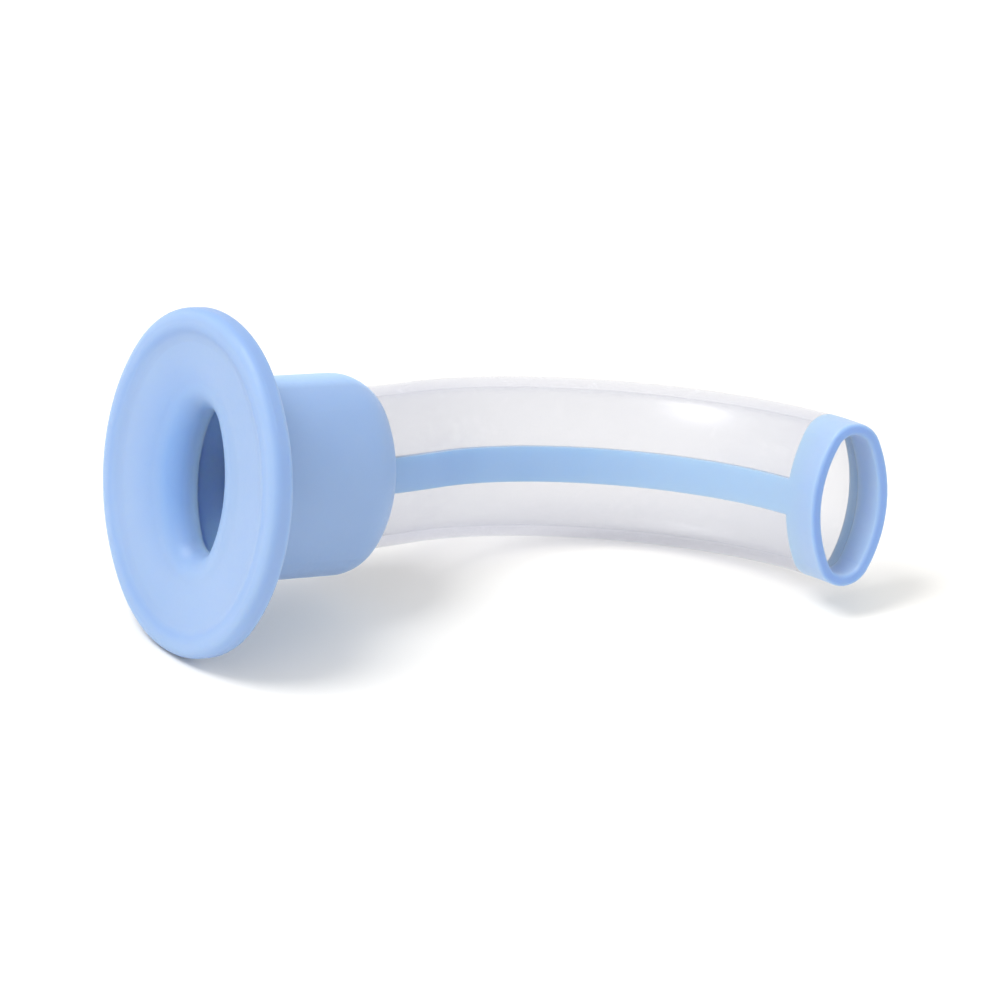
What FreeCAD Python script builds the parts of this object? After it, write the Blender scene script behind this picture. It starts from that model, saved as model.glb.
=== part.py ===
import FreeCAD, Part
import math
import os
import Sketcher

# Oropharyngeal airway, a two-shot moulding: a clear curved tube, and a soft blue shot that forms the
# flange, the bite block, the strip along the inside of the bend and the ring round the tip.
# Modelling frame: the origin is the centre of the flange's rear face, +X runs along the bite block,
# the bend turns towards -Y and Z is across the tube. At the end the part is laid down as it rests.

Vector = FreeCAD.Vector
X_AXIS = Vector(1, 0, 0)
Y_AXIS = Vector(0, 1, 0)
Z_AXIS = Vector(0, 0, 1)
REST_ROUNDS = 20
doc = FreeCAD.newDocument("airway")

# Driving dimensions in millimetres and degrees
SIZES = [
    ("flange_width", 29.4, "flange across the lips"),
    ("flange_depth", 24.4, "flange from roof side to tongue side"),
    ("flange_thickness", 2.2, "flange at its rim"),
    ("flange_front_round", 0.9, "rounding of the rim's front edge"),
    ("flange_rear_round", 0.6, "rounding of the rim's rear edge"),
    ("rim_width", 1.6, "raised rim round the dished face"),
    ("rim_round", 1.4, "rounding of the rim's inner edge"),
    ("rim_step", 0.45, "drop from the rim into the dish"),
    ("rim_slope", 0.9, "width that the drop takes"),
    ("dish_depth", 1.0, "depth of the dish at the mouth"),
    ("dish_round", 2.4, "rounding of the dish at its foot and at its floor"),
    ("mouth_flare", 2.1, "radius of the bell mouth"),
    ("mouth_margin", 0.3, "dish floor left round the bell mouth"),
    ("block_length", 17.0, "bite block behind the flange"),
    ("block_width", 17.3, "bite block across"),
    ("block_depth", 13.5, "bite block from roof side to tongue side"),
    ("block_shoulder", 4.2, "rounding of the bite block's far end"),
    ("block_root_round", 0.7, "fillet between bite block and flange"),
    ("entry_length", 1.6, "straight stretch of the tube behind the flange's rear face"),
    ("lead_radius", 98, "radius of the slight rise behind the flange"),
    ("lead_angle", 13.1, "turn of the slight rise in degrees"),
    ("bend_radius", 22.15, "radius of the bend's centreline"),
    ("bend_angle", 116.1, "turn of the bend in degrees"),
    ("tip_length", 0.8, "straight end of the tube after the bend"),
    ("tube_width", 14.2, "tube across"),
    ("tube_depth", 7.5, "tube from roof side to tongue side"),
    ("wall", 1.0, "wall of the tube"),
    ("tube_seat", 1.2, "start of the clear tube behind the flange's rear face"),
    ("strip_width", 3.1, "strip along the inside of the bend"),
    ("strip_thickness", 0.55, "strip and outer layer of the tip ring"),
    ("strip_anchor", 5.0, "length of strip that the bite block covers"),
    ("ring_length", 4.7, "tip ring seen from outside"),
    ("ring_inner_length", 3.1, "tip ring seen from inside"),
    ("tip_round", 0.35, "rounding of the tip's edges"),
    ("cut_margin", 1.0, "how far a cutting form passes the surface that it cuts"),
    ("rest_station", 55.5, "turn of the bend in degrees where the tube touches the table"),
]
sheet = doc.addObject("Spreadsheet::Sheet", "Sizes")
for row, (alias, value, note) in enumerate(SIZES, start=1):
    sheet.set(f"A{row}", alias)
    sheet.set(f"B{row}", str(value))
    sheet.setAlias(f"B{row}", alias)
    sheet.set(f"C{row}", note)
doc.recompute()


def worked_out(formula):
    """Value of a formula of the sheet's sizes."""
    return float(sheet.evalExpression(formula))


def size(alias):
    return worked_out(f"Sizes.{alias}")


def bound(item, **formulas):
    """Binds properties of an object to formulas of the sheet's sizes."""
    for name, formula in formulas.items():
        item.setExpression(name, formula)
    return item


def dimension(sketch, constraint, name, formula):
    """Adds a named dimension to a sketch and binds it to the sheet."""
    index = sketch.addConstraint(constraint)
    sketch.renameConstraint(index, name)
    sketch.setExpression(f"Constraints.{name}", formula)


def plane_of(body, role):
    return next(item for item in body.Origin.OriginFeatures if item.Role == role)


def edges_in_plane(shape, point, normal, reach=1e-3):
    """Numbers of the edges that lie in a plane, the shortest first."""
    numbers = []
    for number, edge in enumerate(shape.Edges, start=1):
        points = edge.discretize(Number=9)
        if all(abs((spot - point).dot(normal)) < reach for spot in points):
            numbers.append(number)
    return sorted(numbers, key=lambda number: shape.Edges[number - 1].Length)


# Places along the centreline: where the rise ends, and the bend's centre
LEAD_ANGLE = "(Sizes.lead_angle * 1 deg)"
JOIN_X = f"Sizes.entry_length + Sizes.lead_radius * sin({LEAD_ANGLE})"
JOIN_Y = f"Sizes.lead_radius * (1 - cos({LEAD_ANGLE}))"
CENTRE_X = f"Sizes.entry_length + (Sizes.lead_radius + Sizes.bend_radius) * sin({LEAD_ANGLE})"
CENTRE_DROP = f"(Sizes.lead_radius + Sizes.bend_radius) * cos({LEAD_ANGLE}) - Sizes.lead_radius"


def bend_centre():
    return Vector(worked_out(CENTRE_X), -worked_out(CENTRE_DROP), 0)


def outward(station):
    """Direction away from the bend's centre, at a turn of the bend in degrees."""
    heading = math.radians(size("lead_angle") - station)
    return Vector(-math.sin(heading), math.cos(heading), 0)


def bend_point(station):
    return bend_centre() + outward(station) * size("bend_radius")


def tip_direction():
    away = outward(size("bend_angle"))
    return Vector(away.y, -away.x, 0)


def tip_point():
    return bend_point(size("bend_angle")) + tip_direction() * size("tip_length")


def bend_arc():
    lead = math.radians(size("lead_angle"))
    turn = math.radians(size("bend_angle"))
    circle = Part.Circle(bend_centre(), Z_AXIS, size("bend_radius"))
    return Part.ArcOfCircle(circle, math.pi / 2 + lead - turn, math.pi / 2 + lead)


# Centreline of the tube: straight through the flange, a slight rise, one bend and a straight tip
def add_centreline():
    face = Vector(-size("flange_thickness"), 0, 0)
    entry = Vector(size("entry_length"), 0, 0)
    rise = size("lead_radius")
    lead = math.radians(size("lead_angle"))
    turn = math.radians(size("bend_angle"))
    path = doc.addObject("Sketcher::SketchObject", "Centreline")
    path.addGeometry(Part.LineSegment(face, entry))
    circle = Part.Circle(entry + Vector(0, rise, 0), Z_AXIS, rise)
    path.addGeometry(Part.ArcOfCircle(circle, -math.pi / 2, lead - math.pi / 2))
    path.addGeometry(bend_arc())
    path.addGeometry(Part.LineSegment(bend_point(size("bend_angle")), tip_point()))
    path.addConstraint(Sketcher.Constraint("PointOnObject", 0, 1, -1))
    path.addConstraint(Sketcher.Constraint("Horizontal", 0))
    path.addConstraint(Sketcher.Constraint("Tangent", 0, 2, 1, 1))
    path.addConstraint(Sketcher.Constraint("Tangent", 1, 2, 2, 2))
    path.addConstraint(Sketcher.Constraint("Tangent", 2, 1, 3, 1))
    front_length = Sketcher.Constraint("DistanceX", 0, 1, -1, 1, size("flange_thickness"))
    dimension(path, front_length, "front", "Sizes.flange_thickness")
    entry_length = Sketcher.Constraint("DistanceX", -1, 1, 0, 2, size("entry_length"))
    dimension(path, entry_length, "entry", "Sizes.entry_length")
    dimension(path, Sketcher.Constraint("Radius", 1, rise), "rise", "Sizes.lead_radius")
    dimension(path, Sketcher.Constraint("Angle", 1, lead), "lead", "Sizes.lead_angle * 1 deg")
    bend_radius = Sketcher.Constraint("Radius", 2, size("bend_radius"))
    dimension(path, bend_radius, "radius", "Sizes.bend_radius")
    dimension(path, Sketcher.Constraint("Angle", 2, turn), "turn", "Sizes.bend_angle * 1 deg")
    dimension(path, Sketcher.Constraint("Distance", 3, size("tip_length")), "tip", "Sizes.tip_length")
    return path


# Every section is an oval of four tangent arcs that follows an ellipse, long across the tube
FLANGE = ("Sizes.flange_width", "Sizes.flange_depth")
BLOCK = ("Sizes.block_width", "Sizes.block_depth")
TUBE = ("Sizes.tube_width", "Sizes.tube_depth")


def end_radius(oval):
    width, depth = oval
    return f"hypot({width}; {depth}) * (hypot({width}; {depth}) - {width} + {depth}) / (4 * {width})"


def side_radius(oval):
    width, depth = oval
    return f"hypot({width}; {depth}) * (hypot({width}; {depth}) + {width} - {depth}) / (4 * {depth})"


def draw_oval(sketch, oval, inset):
    """Draws an oval, smaller by an inset all round, with its long axis along the sketch's Y."""
    width, depth = oval
    end = f"{end_radius(oval)} - ({inset})"
    side = f"{side_radius(oval)} - ({inset})"
    end_reach = f"{width} / 2 - {end_radius(oval)}"
    along = Vector(0, worked_out(end_reach), 0)
    back = Vector(worked_out(f"{side_radius(oval)} - {depth} / 2"), 0, 0)
    lean = math.atan2(along.y, back.x)
    arcs = [
        (-back, side, -lean, lean),
        (along, end, lean, math.pi - lean),
        (back, side, math.pi - lean, math.pi + lean),
        (-along, end, math.pi + lean, 2 * math.pi - lean),
    ]
    for centre, radius, start, finish in arcs:
        circle = Part.Circle(centre, Z_AXIS, worked_out(radius))
        sketch.addGeometry(Part.ArcOfCircle(circle, start, finish))
    sketch.addConstraint(Sketcher.Constraint("PointOnObject", 0, 3, -1))
    sketch.addConstraint(Sketcher.Constraint("PointOnObject", 1, 3, -2))
    sketch.addConstraint(Sketcher.Constraint("PointOnObject", 2, 3, -1))
    sketch.addConstraint(Sketcher.Constraint("Tangent", 0, 2, 1, 1))
    sketch.addConstraint(Sketcher.Constraint("Tangent", 1, 2, 2, 1))
    sketch.addConstraint(Sketcher.Constraint("Tangent", 3, 2, 0, 1))
    sketch.addConstraint(Sketcher.Constraint("Coincident", 2, 2, 3, 1))
    sketch.addConstraint(Sketcher.Constraint("Equal", 0, 2))
    sketch.addConstraint(Sketcher.Constraint("Equal", 1, 3))
    dimension(sketch, Sketcher.Constraint("Radius", 0, worked_out(side)), "side", side)
    dimension(sketch, Sketcher.Constraint("Radius", 1, worked_out(end)), "end", end)
    reach = Sketcher.Constraint("DistanceY", -1, 1, 1, 3, along.y)
    dimension(sketch, reach, "reach", end_reach)


# A form swept along the centreline, smaller than the tube's outside by an inset all round
def add_tube_form(name, inset):
    section = doc.addObject("Sketcher::SketchObject", f"{name}Oval")
    draw_oval(section, TUBE, inset)
    section.Placement = FreeCAD.Placement(Vector(0, 0, 0), FreeCAD.Rotation(Y_AXIS, Z_AXIS, X_AXIS, "ZXY"))
    bound(section, **{"Placement.Base.x": "-Sizes.flange_thickness"})
    form = doc.addObject("Part::Sweep", name)
    form.Sections = [section]
    form.Spine = (centreline, ["Edge1", "Edge2", "Edge3", "Edge4"])
    form.Solid = True
    form.Frenet = False
    return form


def cut(name, base, tool):
    result = doc.addObject("Part::Cut", name)
    result.Base = base
    result.Tool = tool
    return result


def fuse(name, *shapes):
    result = doc.addObject("Part::MultiFuse", name)
    result.Shapes = list(shapes)
    return result


def common(name, *shapes):
    result = doc.addObject("Part::MultiCommon", name)
    result.Shapes = list(shapes)
    return result


def rounded(name, base, rounds):
    """Fillets edges of a solid: rounds is a list of edge number and radius."""
    result = doc.addObject("Part::Fillet", name)
    result.Base = base
    result.Edges = [(number, radius, radius) for number, radius in rounds]
    return result


# Flange and bite block, solid, with the dish cut into the flange's face
def add_oval_sketch(body, name, oval, station, inset="0"):
    sketch = body.newObject("Sketcher::SketchObject", name)
    sketch.AttachmentSupport = [(plane_of(body, "YZ_Plane"), "")]
    sketch.MapMode = "FlatFace"
    bound(sketch, **{"AttachmentOffset.Base.z": station})
    draw_oval(sketch, oval, inset)
    return sketch


def add_pad(body, name, sketch, length, backwards):
    pad = body.newObject("PartDesign::Pad", name)
    pad.Profile = sketch
    bound(pad, Length=length)
    pad.Reversed = backwards
    return pad


def add_sunk_cone(body, name, start_inset, start_drop, end_inset, end_drop):
    """Cuts into the flange's face, narrowing from one inset of its outline to another."""
    station = f"{start_drop} - Sizes.flange_thickness"
    sketch = add_oval_sketch(body, f"{name}Outline", FLANGE, station, start_inset)
    pocket = body.newObject("PartDesign::Pocket", name)
    pocket.Profile = sketch
    pocket.Reversed = True
    drop = f"({end_drop} - ({start_drop}))"
    bound(pocket, Length=drop, TaperAngle=f"-atan(({end_inset} - ({start_inset})) / {drop})")
    return pocket


def add_round(body, name, x, radius, inner=False):
    """Rounds the inner or the outer edge that the body's last feature has in the plane at x."""
    doc.recompute()
    base = body.Tip
    numbers = edges_in_plane(base.Shape, Vector(x, 0, 0), X_AXIS)
    chosen = numbers[0] if inner else numbers[-1]
    fillet = body.newObject("PartDesign::Fillet", name)
    fillet.Base = (base, [f"Edge{chosen}"])
    bound(fillet, Radius=radius)
    return fillet


def add_flange_and_block():
    body = doc.addObject("PartDesign::Body", "FlangeAndBlock")
    face = -size("flange_thickness")
    outline = add_oval_sketch(body, "FlangeOutline", FLANGE, "0")
    add_pad(body, "FlangePlate", outline, "Sizes.flange_thickness", True)
    section = add_oval_sketch(body, "BlockSection", BLOCK, "0")
    add_pad(body, "BiteBlock", section, "Sizes.block_length", False)
    add_round(body, "BlockShoulder", size("block_length"), "Sizes.block_shoulder")
    add_round(body, "BlockRoot", 0, "Sizes.block_root_round", inner=True)
    add_round(body, "FlangeRearEdge", 0, "Sizes.flange_rear_round")
    add_round(body, "FlangeFrontEdge", face, "Sizes.flange_front_round")
    foot = "(Sizes.rim_width + Sizes.rim_slope)"
    spare = "min(Sizes.flange_width - Sizes.tube_width; Sizes.flange_depth - Sizes.tube_depth) / 2"
    floor = f"({spare} + Sizes.wall - Sizes.mouth_flare - Sizes.mouth_margin)"
    add_sunk_cone(body, "RimStep", "Sizes.rim_width", "0", foot, "Sizes.rim_step")
    add_sunk_cone(body, "Dish", foot, "Sizes.rim_step", floor, "Sizes.dish_depth")
    add_round(body, "RimInnerEdge", face, "Sizes.rim_round", inner=True)
    add_round(body, "DishFoot", face + size("rim_step"), "Sizes.dish_round")
    add_round(body, "DishFloor", face + size("dish_depth"), "Sizes.dish_round")
    return body


# Zones of the tube's wall that the blue shot fills: the strip and the tip ring
def add_strip_zone():
    start = size("block_length") - size("strip_anchor")
    centre = bend_centre()
    join = bend_point(0)
    corner = Vector(start, centre.y, 0)
    outline = doc.addObject("Sketcher::SketchObject", "StripOutline")
    outline.addGeometry(Part.LineSegment(Vector(start, 0, 0), join))
    outline.addGeometry(bend_arc())
    outline.addGeometry(Part.LineSegment(bend_point(size("bend_angle")), centre))
    outline.addGeometry(Part.LineSegment(centre, corner))
    outline.addGeometry(Part.LineSegment(corner, Vector(start, 0, 0)))
    joins = [(0, 2, 1, 2), (1, 1, 2, 1), (2, 2, 3, 1), (3, 2, 4, 1), (4, 2, 0, 1), (1, 3, 2, 2)]
    for ends in joins:
        outline.addConstraint(Sketcher.Constraint("Coincident", *ends))
    outline.addConstraint(Sketcher.Constraint("PointOnObject", 0, 1, -1))
    outline.addConstraint(Sketcher.Constraint("Horizontal", 3))
    outline.addConstraint(Sketcher.Constraint("Vertical", 4))
    start_length = Sketcher.Constraint("DistanceX", -1, 1, 0, 1, start)
    dimension(outline, start_length, "start", "Sizes.block_length - Sizes.strip_anchor")
    dimension(outline, Sketcher.Constraint("DistanceX", -1, 1, 0, 2, join.x), "join_x", JOIN_X)
    dimension(outline, Sketcher.Constraint("DistanceY", -1, 1, 0, 2, join.y), "join_y", JOIN_Y)
    dimension(outline, Sketcher.Constraint("DistanceX", -1, 1, 1, 3, centre.x), "centre_x", CENTRE_X)
    dimension(outline, Sketcher.Constraint("DistanceY", 1, 3, -1, 1, -centre.y), "centre_y", CENTRE_DROP)
    turn = Sketcher.Constraint("Angle", 1, math.radians(size("bend_angle")))
    dimension(outline, turn, "turn", "Sizes.bend_angle * 1 deg")
    zone = doc.addObject("Part::Extrusion", "StripZone")
    zone.Base = outline
    zone.DirMode = "Normal"
    zone.Solid = True
    zone.Symmetric = True
    bound(zone, LengthFwd="Sizes.strip_width")
    return zone


def add_ring_zone(name, length_alias, margins):
    """A sector about the bend's centre, from the ring's rear end to past the straight tip."""
    margin = margins * size("cut_margin")
    degrees_per_length = 180 / math.pi / size("bend_radius")
    past_bend = (size("tip_length") + margin) * degrees_per_length
    sector = doc.addObject("Part::Cylinder", name)
    bound(sector, Radius=f"Sizes.bend_radius + Sizes.tube_depth / 2 + {margins} * Sizes.cut_margin")
    bound(sector, Height=f"Sizes.tube_width + {2 * margins} * Sizes.cut_margin")
    sector.Angle = (size(length_alias) - size("tip_length")) * degrees_per_length + past_bend
    start = 90 + size("lead_angle") - size("bend_angle") - past_bend
    drop = Vector(0, 0, size("tube_width") / 2 + margin)
    sector.Placement = FreeCAD.Placement(bend_centre() - drop, FreeCAD.Rotation(Z_AXIS, start))
    return sector


centreline = add_centreline()
outside = add_tube_form("TubeOutside", "0")
lumen = add_tube_form("Lumen", "Sizes.wall")
mid_wall = add_tube_form("MidWall", "Sizes.strip_thickness")

# The tube's core starts at its seat in the bite block
front = doc.addObject("Part::Box", "FrontOfSeat")
bound(front, Length="Sizes.flange_thickness + Sizes.tube_seat + Sizes.cut_margin")
bound(front, Width="Sizes.flange_depth", Height="Sizes.flange_width")
bound(front, **{"Placement.Base.x": "-Sizes.flange_thickness - Sizes.cut_margin"})
bound(front, **{"Placement.Base.y": "-Sizes.flange_depth / 2"})
bound(front, **{"Placement.Base.z": "-Sizes.flange_width / 2"})
tube_core = cut("TubeCore", outside, front)
tube_wall = cut("TubeWall", tube_core, lumen)

# The zones that the blue shot fills in the wall
outer_zone = fuse("OuterZone", add_strip_zone(), add_ring_zone("RingZone", "ring_length", 2))
outer_layer = cut("OuterLayer", outer_zone, mid_wall)
blue_zone = fuse("BlueZone", outer_layer, add_ring_zone("InnerRingZone", "ring_inner_length", 1))
wall_fill = common("StripAndRing", tube_wall, blue_zone)
airway_tube = cut("airway_tube", tube_wall, blue_zone)

# The blue shot: flange and bite block with socket and mouth, joined to the strip and the ring
socketed = cut("Socketed", add_flange_and_block(), tube_core)
bored = cut("Bored", socketed, lumen)
doc.recompute()
mouth_plane = Vector(size("dish_depth") - size("flange_thickness"), 0, 0)
mouth_edge = edges_in_plane(bored.Shape, mouth_plane, X_AXIS)[0]
mouthed = rounded("Mouthed", bored, [(mouth_edge, size("mouth_flare"))])
joined = fuse("Joined", mouthed, wall_fill)
doc.recompute()
tip_edges = edges_in_plane(joined.Shape, tip_point(), tip_direction())
tip_rounds = [(number, size("tip_round")) for number in tip_edges]
soft_overmould = rounded("soft_overmould", joined, tip_rounds)
doc.recompute()


# At rest the part lies on its side, on the flange's rear edge and on the outside of the bend
def rest_rotation():
    away = outward(size("rest_station"))
    reach = bend_point(size("rest_station")).dot(away)
    flange_end = worked_out(end_radius(FLANGE))
    tube_end = worked_out(end_radius(TUBE))
    slope = 0.0
    for _ in range(REST_ROUNDS):
        radial = math.hypot(1, slope * away.y)
        rounding = radial + slope * away.x - math.hypot(1, slope)
        flange_drop = size("flange_width") / 2 + flange_end * (radial - 1)
        flange_drop -= size("flange_rear_round") * rounding
        tube_drop = size("tube_width") / 2 + tube_end * (math.hypot(1, slope) - 1)
        slope = (flange_drop - tube_drop) / reach
    up = (Z_AXIS - away * slope).normalize()
    pitch = math.degrees(math.asin(-up.x))
    roll = math.degrees(math.atan2(up.y, up.z))
    return FreeCAD.Rotation(0, pitch, roll)


def lay_down(pieces):
    """Turns the pieces to rest, with the lowest point at z = 0 and the box centred over the origin."""
    turned = FreeCAD.Placement(Vector(0, 0, 0), rest_rotation())
    for piece in pieces:
        piece.Placement = turned
    doc.recompute()
    box = Part.makeCompound([piece.Shape for piece in pieces]).optimalBoundingBox(False)
    shift = Vector(-box.Center.x, -box.Center.y, -box.ZMin)
    for piece in pieces:
        piece.Placement = FreeCAD.Placement(shift, turned.Rotation)
    doc.recompute()


PIECES = [soft_overmould, airway_tube]
lay_down(PIECES)
for item in doc.Objects:
    if "Invalid" in item.State or "Error" in item.State:
        raise RuntimeError(f"{item.Name} failed: {item.State}")
os.makedirs("parts", exist_ok=True)
for piece in PIECES:
    shape = piece.Shape
    if shape.isNull() or not shape.isValid() or len(shape.Solids) != 1:
        raise RuntimeError(f"{piece.Label} is not one valid solid")
    shape.exportStep(f"parts/{piece.Label}.step")
    print(piece.Label, round(shape.Volume, 1), "mm3", piece.Placement)
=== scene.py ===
import math

import bpy
from mathutils import Matrix, Quaternion, Vector


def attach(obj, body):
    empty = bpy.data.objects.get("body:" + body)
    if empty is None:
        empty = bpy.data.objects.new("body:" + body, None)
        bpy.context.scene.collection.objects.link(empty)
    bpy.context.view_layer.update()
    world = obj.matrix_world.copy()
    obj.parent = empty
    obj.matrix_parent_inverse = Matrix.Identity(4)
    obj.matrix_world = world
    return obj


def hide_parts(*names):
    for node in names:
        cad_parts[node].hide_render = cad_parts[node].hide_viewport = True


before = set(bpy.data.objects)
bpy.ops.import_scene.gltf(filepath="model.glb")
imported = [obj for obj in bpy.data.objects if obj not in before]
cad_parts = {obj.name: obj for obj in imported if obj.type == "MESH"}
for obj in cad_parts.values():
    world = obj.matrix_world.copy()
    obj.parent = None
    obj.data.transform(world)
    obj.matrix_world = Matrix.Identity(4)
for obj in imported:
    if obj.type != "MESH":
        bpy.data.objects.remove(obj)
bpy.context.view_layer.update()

MM = 0.001

# The photograph's camera, fitted to the outlines: where it looks, from where, and its lens
VIEW_AIM = Vector((-0.67, -2.01, 10.43)) * MM
VIEW_AZIMUTH = math.radians(-128.93)
VIEW_ELEVATION = math.radians(25.99)
VIEW_ROLL = math.radians(-3.98)
VIEW_DISTANCE = 499.3 * MM
LENS_MM = 212.1
SENSOR_MM = 36
CLIP_START = 10 * MM

# Studio
FLOOR_HALF = 3.0
FLOOR_TONE = (0.93, 0.91, 0.87, 1)
FLOOR_ROUGHNESS = 0.6
SKY_TONE = (1, 1, 1, 1)
SKY_STRENGTH = 0.95
KEY_POWER = 3.0
KEY_SIZE = 0.34
KEY_DIRECTION = Vector((-0.48, 0.10, 0.86))
KEY_DISTANCE = 0.75

X_AXIS = Vector((1, 0, 0))

# How the part lies: where the source's own axes start and how they are turned
PART_ORIGIN = Vector((-25.0431, 6.7897, 14.2843)) * MM
PART_TURN = Vector((math.radians(-11.5488), math.radians(10.3598), 0))

# Ovals across the part's own x axis, as half sizes. The first is so long that x doesn't count
FAR = 1000.0
BORE_HALF = Vector((FAR, 2.75, 6.10)) * MM
BELL_HALF = Vector((FAR, 6.2, 8.4)) * MM
BELL_CENTRE = Vector((0, 1.7, 0.8)) * MM
RIM_HALF = Vector((FAR, 12.2, 14.7)) * MM

# Where each painted shade and painted light on the blue starts and ends: as a share of its oval, or
# along the part's x axis
MOUTH_SHADE_SPAN = (0.40, 1.15)
GROOVE_START_SPAN = (0.84, 0.87)
GROOVE_END_SPAN = (0.88, 0.92)
SIDE_SPAN = (0.97, 0.995)
BORE_LIGHT_SPAN = (1.25, 1.6)
FRONT_SPAN = (-0.2 * MM, 0.8 * MM)
FLANGE_BACK_SPAN = (0.1 * MM, 0.3 * MM)
BLOCK_SHADE_SPAN = (0.0, 1.5 * MM)
BORE_LIGHT_START_SPAN = (0.3 * MM, 2.5 * MM)
BLOCK_END_SPAN = (14.8 * MM, 15.8 * MM)

# Painted light makes the blue paler along the frame's x axis towards the tip, and painted shade
# makes it deeper at the cut end of the tip ring
PAINTED_TIP_LIGHT_SPAN = (0.0, 26.0 * MM)
TIP_DIRECTION = Vector((-0.1862, -0.9546, 0.2323))
TIP_CENTRE = Vector((25.265, -17.494, 10.132)) * MM
TIP_PLANE = TIP_CENTRE.dot(TIP_DIRECTION)
END_SHADE_SPAN = (TIP_PLANE - 0.25 * MM, TIP_PLANE)

# How much of each painted shade shows
BLOCK_SHADE_SHARE = 0.15
MOUTH_SHADE_SHARE = 0.6
GROOVE_SHADE_SHARE = 0.22
SIDE_SHADE_SHARE = 0.25
END_SHADE_SHARE = 0.6

# Tones of the blue, with two where they vary with the cloudiness. The tip's paler tone and the
# bore's bright tone are painted light; the block, mouth, rim and cut end tones are painted shade
BLUE_TOWARDS_FLANGE = ((0.282, 0.412, 0.640, 1), (0.310, 0.440, 0.665, 1))
BLUE_PAINTED_LIGHT_TIP = ((0.360, 0.490, 0.690, 1), (0.382, 0.510, 0.705, 1))
BLUE_PAINTED_BLOCK_SHADE = (0.110, 0.250, 0.600, 1)
BLUE_PAINTED_MOUTH_SHADE = (0.110, 0.275, 0.620, 1)
BLUE_PAINTED_RIM_SHADE = (0.120, 0.260, 0.600, 1)
BLUE_PAINTED_BORE_LIGHT = (0.450, 0.700, 1.000, 1)
BLUE_PAINTED_END_SHADE = (0.120, 0.240, 0.570, 1)

# Finish of the blue. A noise has its scale per metre and its number of finer layers
CLOUD_SCALE = 90.0
CLOUD_DETAIL = 3.0
GRAIN_SCALE = 2600.0
GRAIN_DETAIL = 4.0
PEEL_SCALE = 520.0
PEEL_DETAIL = 1.0
BLUE_ROUGHNESS = (0.36, 0.48)
PEEL_HEIGHT = 0.06 * MM
PEEL_STRENGTH = 0.35
GRAIN_HEIGHT = 0.02 * MM
GRAIN_STRENGTH = 0.4
BLUE_IOR = 1.48

# Light that enters the blue and comes out again: its share, its reach and the reach of each colour
GLOW_SHARE = 0.7
GLOW_REACH = 2.4 * MM
GLOW_COLOURS = (0.5, 0.75, 1.0)

# The clear tube
TUBE_CLEARANCE = 0.03 * MM
SAME_PLACE = 0.0001 * MM
CLEAR_TONES = ((0.575, 0.585, 0.645, 1), (0.590, 0.600, 0.655, 1))
CLEAR_ROUGHNESS = (0.27, 0.30)
CLEAR_ALPHA = (0.12, 0.28)
CLEAR_IOR = 2.8
FLOW_SCALE = 160.0
FLOW_DETAIL = 2.0
HAZE_SCALE = 900.0
HAZE_DETAIL = 3.0
FLOW_HEIGHT = 0.03 * MM
FLOW_STRENGTH = 0.06
WALL_TINT = (0.125, 0.175, 0.467, 1)
WALL_DENSITY = 62.0
LAMP_LIGHT_PASSED = (0.97, 0.97, 0.965, 1)

# The part of a noise's values that is stretched over a run, and the whole of a factor
NOISE_SPAN = (0.3, 0.7)
WHOLE_SPAN = (0.0, 1.0)


def new_material(name):
    material = bpy.data.materials.new(name)
    material.use_nodes = True
    tree = material.node_tree
    return material, tree, tree.nodes["Principled BSDF"]


def set_inputs(node, **inputs):
    """Sets the plain values of a node's inputs, named with underscores for spaces."""
    for name, value in inputs.items():
        node.inputs[name.replace("_", " ")].default_value = value


def add_node(tree, kind, **inputs):
    node = tree.nodes.new(kind)
    set_inputs(node, **inputs)
    return node


def add_surface_position(tree):
    """Position in the object's own frame, in metres."""
    return tree.nodes.new("ShaderNodeTexCoord").outputs["Object"]


def add_part_position(tree, centre=Vector((0, 0, 0)), scale=Vector((1, 1, 1))):
    """Position in the part's own axes, from a centre given there and divided by scale."""
    lying = add_node(tree, "ShaderNodeMapping", Location=PART_ORIGIN, Rotation=PART_TURN)
    lying.vector_type = "TEXTURE"
    tree.links.new(add_surface_position(tree), lying.inputs["Vector"])
    placed = add_node(tree, "ShaderNodeMapping", Location=centre, Scale=scale)
    placed.vector_type = "TEXTURE"
    tree.links.new(lying.outputs["Vector"], placed.inputs["Vector"])
    return placed.outputs["Vector"]


def add_length(tree, vector):
    """How far a position is from its centre, which is 1 on an oval that it was divided by."""
    node = tree.nodes.new("ShaderNodeVectorMath")
    node.operation = "LENGTH"
    tree.links.new(vector, node.inputs[0])
    return node.outputs["Value"]


def add_product(tree, first, second):
    node = tree.nodes.new("ShaderNodeMath")
    node.operation = "MULTIPLY"
    tree.links.new(first, node.inputs[0])
    tree.links.new(second, node.inputs[1])
    return node.outputs["Value"]


def add_noise(tree, position, scale, detail):
    noise = add_node(tree, "ShaderNodeTexNoise", Scale=scale, Detail=detail)
    tree.links.new(position, noise.inputs["Vector"])
    return noise.outputs["Fac"]


def add_tint(tree, noise, tones):
    """Turns a noise into a run between two tones."""
    ramp = tree.nodes.new("ShaderNodeValToRGB")
    for element, position, tone in zip(ramp.color_ramp.elements, NOISE_SPAN, tones):
        element.position = position
        element.color = tone
    tree.links.new(noise, ramp.inputs["Fac"])
    return ramp.outputs["Color"]


def add_bump(tree, height, distance, strength, below=None):
    bump = add_node(tree, "ShaderNodeBump", Distance=distance, Strength=strength)
    tree.links.new(height, bump.inputs["Height"])
    if below is not None:
        tree.links.new(below, bump.inputs["Normal"])
    return bump.outputs["Normal"]


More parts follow.
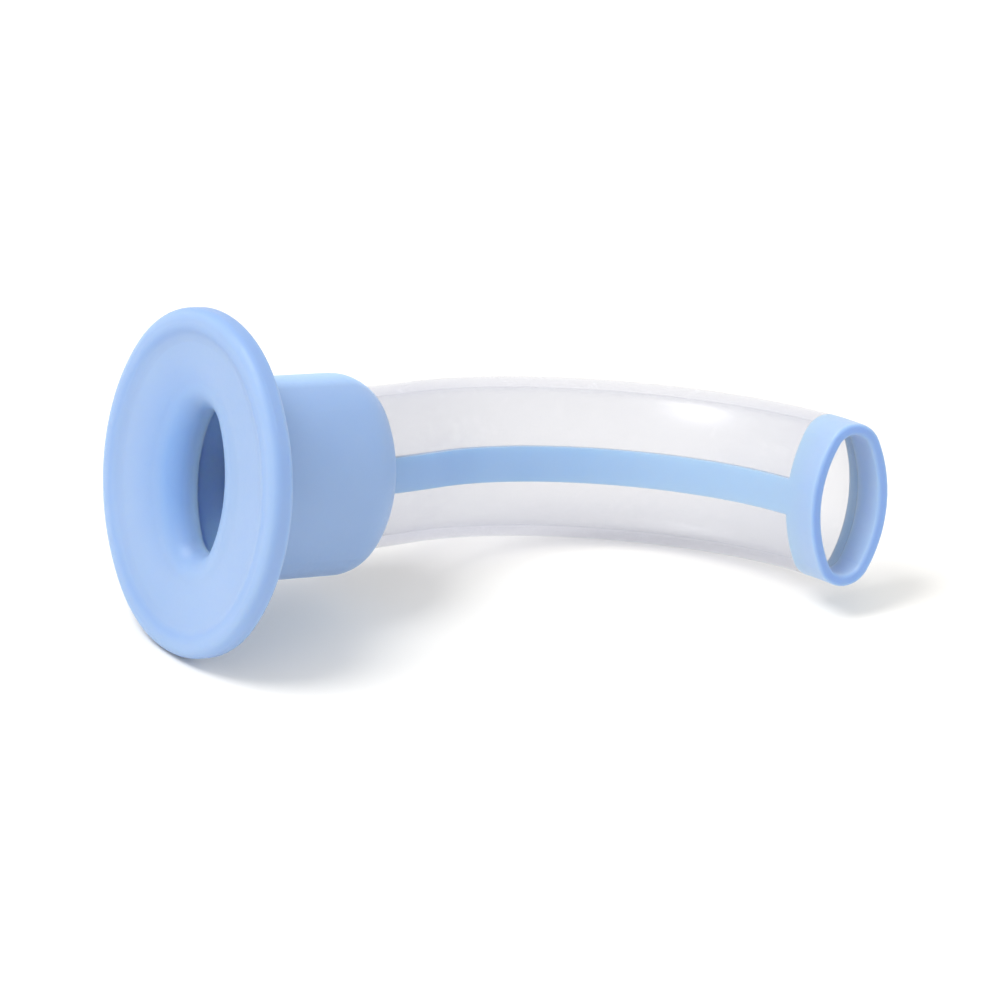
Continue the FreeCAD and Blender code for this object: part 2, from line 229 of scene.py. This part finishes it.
def add_range(tree, factor, values, span=NOISE_SPAN):
    """Turns a factor that runs over a span into a run between two values."""
    node = add_node(tree, "ShaderNodeMapRange")
    node.inputs["From Min"].default_value = span[0]
    node.inputs["From Max"].default_value = span[1]
    node.inputs["To Min"].default_value = values[0]
    node.inputs["To Max"].default_value = values[1]
    tree.links.new(factor, node.inputs["Value"])
    return node.outputs["Result"]


def add_rise(tree, factor, span, share=1.0):
    return add_range(tree, factor, (0.0, share), span)


def add_fall(tree, factor, span, share=1.0):
    return add_range(tree, factor, (share, 0.0), span)


def add_distance(tree, position, axis):
    """How far the position is along an axis, in metres."""
    node = tree.nodes.new("ShaderNodeVectorMath")
    node.operation = "DOT_PRODUCT"
    node.inputs[1].default_value = axis
    tree.links.new(position, node.inputs[0])
    return node.outputs["Value"]


def add_blend(tree, factor, first, second):
    """Mixes two colours, each a socket or a plain colour."""
    node = tree.nodes.new("ShaderNodeMix")
    node.data_type = "RGBA"
    tree.links.new(factor, node.inputs["Factor"])
    colors = [socket for socket in node.inputs if socket.type == "RGBA"]
    for socket, value in zip(colors, (first, second)):
        if isinstance(value, tuple):
            socket.default_value = value
        else:
            tree.links.new(value, socket)
    return next(socket for socket in node.outputs if socket.type == "RGBA")


def add_painted_flange_shade(tree, along, color):
    """Paints shade into the blue round the mouth, in the groove inside the rim and on the flange's
    side.
    """
    # Painted shade round the mouth, where the hollow would be shaded
    mouth_shade = add_length(tree, add_part_position(tree, BELL_CENTRE, BELL_HALF))
    mouth_shade = add_fall(tree, mouth_shade, MOUTH_SHADE_SPAN, MOUTH_SHADE_SHARE)
    front = add_fall(tree, along, FRONT_SPAN)
    color = add_blend(tree, add_product(tree, mouth_shade, front), color, BLUE_PAINTED_MOUTH_SHADE)
    rim = add_length(tree, add_part_position(tree, scale=RIM_HALF))
    flange = add_fall(tree, along, FLANGE_BACK_SPAN)
    # Painted shade in the groove inside the rim
    groove_start = add_rise(tree, rim, GROOVE_START_SPAN)
    groove_end = add_fall(tree, rim, GROOVE_END_SPAN, GROOVE_SHADE_SHARE)
    groove_shade = add_product(tree, groove_start, groove_end)
    color = add_blend(tree, add_product(tree, groove_shade, flange), color, BLUE_PAINTED_RIM_SHADE)
    # Painted shade on the flange's side
    side_shade = add_rise(tree, rim, SIDE_SPAN, SIDE_SHADE_SHARE)
    return add_blend(tree, add_product(tree, side_shade, flange), color, BLUE_PAINTED_RIM_SHADE)


def add_painted_bore_light(tree, along, color):
    """Paints light into the bore of the block, standing in for the light that comes through the
    wall.
    """
    bore = add_length(tree, add_part_position(tree, scale=BORE_HALF))
    bore_light = add_fall(tree, bore, BORE_LIGHT_SPAN)
    bore_light = add_product(tree, bore_light, add_fall(tree, along, BLOCK_END_SPAN))
    bore_light = add_product(tree, bore_light, add_rise(tree, along, BORE_LIGHT_START_SPAN))
    return add_blend(tree, bore_light, color, BLUE_PAINTED_BORE_LIGHT)


# The soft blue shot: satin and translucent. Painted light makes it paler towards the tip and bright
# in the bore; painted shade deepens it round the mouth, in the rim's groove, on the flange's side,
# on the block and on the tip ring's cut end
def make_soft_blue():
    material, tree, shader = new_material("soft_blue_moulding")
    position = add_surface_position(tree)
    cloud = add_noise(tree, position, CLOUD_SCALE, CLOUD_DETAIL)
    grain = add_noise(tree, position, GRAIN_SCALE, GRAIN_DETAIL)
    orange_peel = add_noise(tree, position, PEEL_SCALE, PEEL_DETAIL)
    along = add_distance(tree, add_part_position(tree), X_AXIS)
    # Painted shade: the block behind the flange is made a little deeper blue
    body = add_rise(tree, along, BLOCK_SHADE_SPAN, BLOCK_SHADE_SHARE)
    block_shaded_blue = add_blend(tree, body, add_tint(tree, cloud, BLUE_TOWARDS_FLANGE), BLUE_PAINTED_BLOCK_SHADE)
    # Painted light: the blue turns paler towards the tip
    painted_tip_light = add_rise(tree, add_distance(tree, position, X_AXIS), PAINTED_TIP_LIGHT_SPAN)
    color = add_blend(tree, painted_tip_light, block_shaded_blue, add_tint(tree, cloud, BLUE_PAINTED_LIGHT_TIP))
    color = add_painted_flange_shade(tree, along, color)
    # Painted light in the bore of the block
    color = add_painted_bore_light(tree, along, color)
    # Painted shade on the cut end face of the tip ring
    end_shade = add_rise(tree, add_distance(tree, position, TIP_DIRECTION), END_SHADE_SPAN, END_SHADE_SHARE)
    color = add_blend(tree, end_shade, color, BLUE_PAINTED_END_SHADE)
    tree.links.new(color, shader.inputs["Base Color"])
    tree.links.new(add_range(tree, grain, BLUE_ROUGHNESS), shader.inputs["Roughness"])
    peel = add_bump(tree, orange_peel, PEEL_HEIGHT, PEEL_STRENGTH)
    relief = add_bump(tree, grain, GRAIN_HEIGHT, GRAIN_STRENGTH, below=peel)
    tree.links.new(relief, shader.inputs["Normal"])
    set_inputs(shader, IOR=BLUE_IOR, Subsurface_Weight=GLOW_SHARE)
    set_inputs(shader, Subsurface_Scale=GLOW_REACH, Subsurface_Radius=GLOW_COLOURS)
    return material


def let_lamps_through(tree, shader):
    """Lets the lamp's own rays pass the surface, as they pass a clear wall."""
    lamp_ray = tree.nodes.new("ShaderNodeLightPath").outputs["Is Shadow Ray"]
    passed = add_node(tree, "ShaderNodeBsdfTransparent", Color=LAMP_LIGHT_PASSED)
    mix = tree.nodes.new("ShaderNodeMixShader")
    tree.links.new(lamp_ray, mix.inputs[0])
    tree.links.new(shader.outputs["BSDF"], mix.inputs[1])
    tree.links.new(passed.outputs["BSDF"], mix.inputs[2])
    return mix.outputs["Shader"]


# The clear tube: rigid and glossy, faintly milky, and lavender where it is seen along its wall
def make_clear():
    material, tree, shader = new_material("clear_moulding")
    position = add_surface_position(tree)
    flow = add_noise(tree, position, FLOW_SCALE, FLOW_DETAIL)
    haze = add_noise(tree, position, HAZE_SCALE, HAZE_DETAIL)
    tree.links.new(add_tint(tree, flow, CLEAR_TONES), shader.inputs["Base Color"])
    tree.links.new(add_range(tree, haze, CLEAR_ROUGHNESS), shader.inputs["Roughness"])
    tree.links.new(add_bump(tree, flow, FLOW_HEIGHT, FLOW_STRENGTH), shader.inputs["Normal"])
    facing = tree.nodes.new("ShaderNodeLayerWeight").outputs["Facing"]
    haziness = add_range(tree, facing, CLEAR_ALPHA, WHOLE_SPAN)
    along = add_distance(tree, add_part_position(tree), X_AXIS)
    outside_block = add_rise(tree, along, BLOCK_END_SPAN)
    tree.links.new(add_product(tree, haziness, outside_block), shader.inputs["Alpha"])
    set_inputs(shader, IOR=CLEAR_IOR)
    wall = add_node(tree, "ShaderNodeVolumeAbsorption", Color=WALL_TINT, Density=WALL_DENSITY)
    output = tree.nodes["Material Output"]
    tree.links.new(wall.outputs["Volume"], output.inputs["Volume"])
    tree.links.new(let_lamps_through(tree, shader), output.inputs["Surface"])
    return material


def make_floor_material():
    material, _, shader = new_material("pale_floor")
    set_inputs(shader, Base_Color=FLOOR_TONE, Roughness=FLOOR_ROUGHNESS)
    return material


def assign(node_name, material):
    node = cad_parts[node_name]
    for slot in node.material_slots:
        slot.material = material


def add_clear_tube():
    """The tube's node drawn in by a hair, so that it doesn't share its faces with the blue shot."""
    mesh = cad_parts["airway_tube"].data.copy()
    mesh.name = "clear_tube"
    places = [tuple(round(value / SAME_PLACE) for value in vertex.co) for vertex in mesh.vertices]
    outward = {}
    for place, vertex in zip(places, mesh.vertices):
        outward[place] = outward.get(place, Vector((0, 0, 0))) + vertex.normal
    for place, vertex in zip(places, mesh.vertices):
        vertex.co -= outward[place].normalized() * TUBE_CLEARANCE
    mesh.materials.clear()
    mesh.materials.append(make_clear())
    tube = bpy.data.objects.new("clear_tube", mesh)
    bpy.context.scene.collection.objects.link(tube)
    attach(tube, "root")
    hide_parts("airway_tube")


def add_floor():
    mesh = bpy.data.meshes.new("floor")
    signs = ((-1, -1), (1, -1), (1, 1), (-1, 1))
    corners = [(x * FLOOR_HALF, y * FLOOR_HALF, 0) for x, y in signs]
    mesh.from_pydata(corners, [], [(0, 1, 2, 3)])
    mesh.materials.append(make_floor_material())
    floor = bpy.data.objects.new("floor", mesh)
    bpy.context.scene.collection.objects.link(floor)


def add_key_light():
    data = bpy.data.lights.new("key", "AREA")
    data.shape = "DISK"
    data.size = KEY_SIZE
    data.energy = KEY_POWER
    lamp = bpy.data.objects.new("key", data)
    lamp.location = VIEW_AIM + KEY_DIRECTION.normalized() * KEY_DISTANCE
    lamp.rotation_euler = (-KEY_DIRECTION).to_track_quat("-Z", "Y").to_euler()
    bpy.context.scene.collection.objects.link(lamp)


def add_sky():
    world = bpy.data.worlds.new("studio")
    world.use_nodes = True
    background = world.node_tree.nodes["Background"]
    background.inputs["Color"].default_value = SKY_TONE
    background.inputs["Strength"].default_value = SKY_STRENGTH
    bpy.context.scene.world = world


def add_camera():
    away = Vector((
        math.cos(VIEW_ELEVATION) * math.cos(VIEW_AZIMUTH),
        math.cos(VIEW_ELEVATION) * math.sin(VIEW_AZIMUTH),
        math.sin(VIEW_ELEVATION),
    ))
    data = bpy.data.cameras.new("photo_camera")
    data.lens = LENS_MM
    data.sensor_width = SENSOR_MM
    data.clip_start = CLIP_START
    camera = bpy.data.objects.new("photo_camera", data)
    level = (-away).to_track_quat("-Z", "Y")
    rolled = level @ Quaternion((0, 0, 1), -VIEW_ROLL)
    place = Matrix.Translation(VIEW_AIM + away * VIEW_DISTANCE)
    camera.matrix_world = place @ rolled.to_matrix().to_4x4()
    bpy.context.scene.collection.objects.link(camera)
    bpy.context.scene.camera = camera


add_camera()
add_sky()
add_floor()
add_key_light()
assign("soft_overmould", make_soft_blue())
add_clear_tube()
bpy.context.scene.view_settings.view_transform = "Standard"
